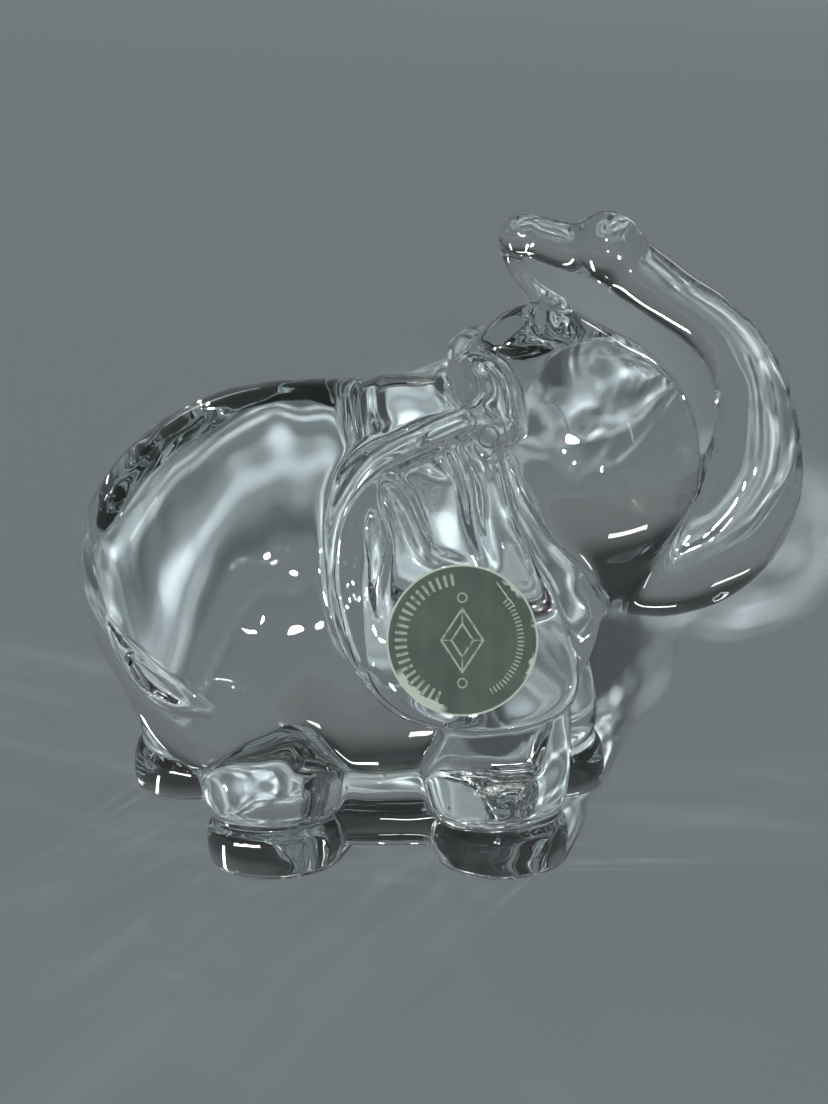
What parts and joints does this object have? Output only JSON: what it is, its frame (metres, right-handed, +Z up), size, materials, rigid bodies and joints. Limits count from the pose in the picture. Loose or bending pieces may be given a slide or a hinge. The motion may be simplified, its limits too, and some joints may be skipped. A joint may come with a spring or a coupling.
{
  "type": "crystal elephant figurine",
  "caption": "Solid clear crystal figurine of a walking elephant with its trunk curled back over its head and a round foil sticker on one ear.",
  "frame": {"origin": "on the surface that the soles stand on, under the middle of the figure's box", "axes": "+X from the tail towards the raised trunk, +Y towards the elephant's left side, +Z up"},
  "size_m": [0.1076, 0.0606, 0.0933],
  "materials": {
    "crystal": "clear fire-polished lead crystal, soles slightly ground",
    "adhesive": "thin clear adhesive, yellowed at the edge",
    "label": "grey-green print on silver foil, rubbed and flaked at the edge"
  },
  "bodies": {
    "root": {"crystal_elephant": "crystal", "label_adhesive": "adhesive", "label_face": "label"}
  },
  "joints": []
}
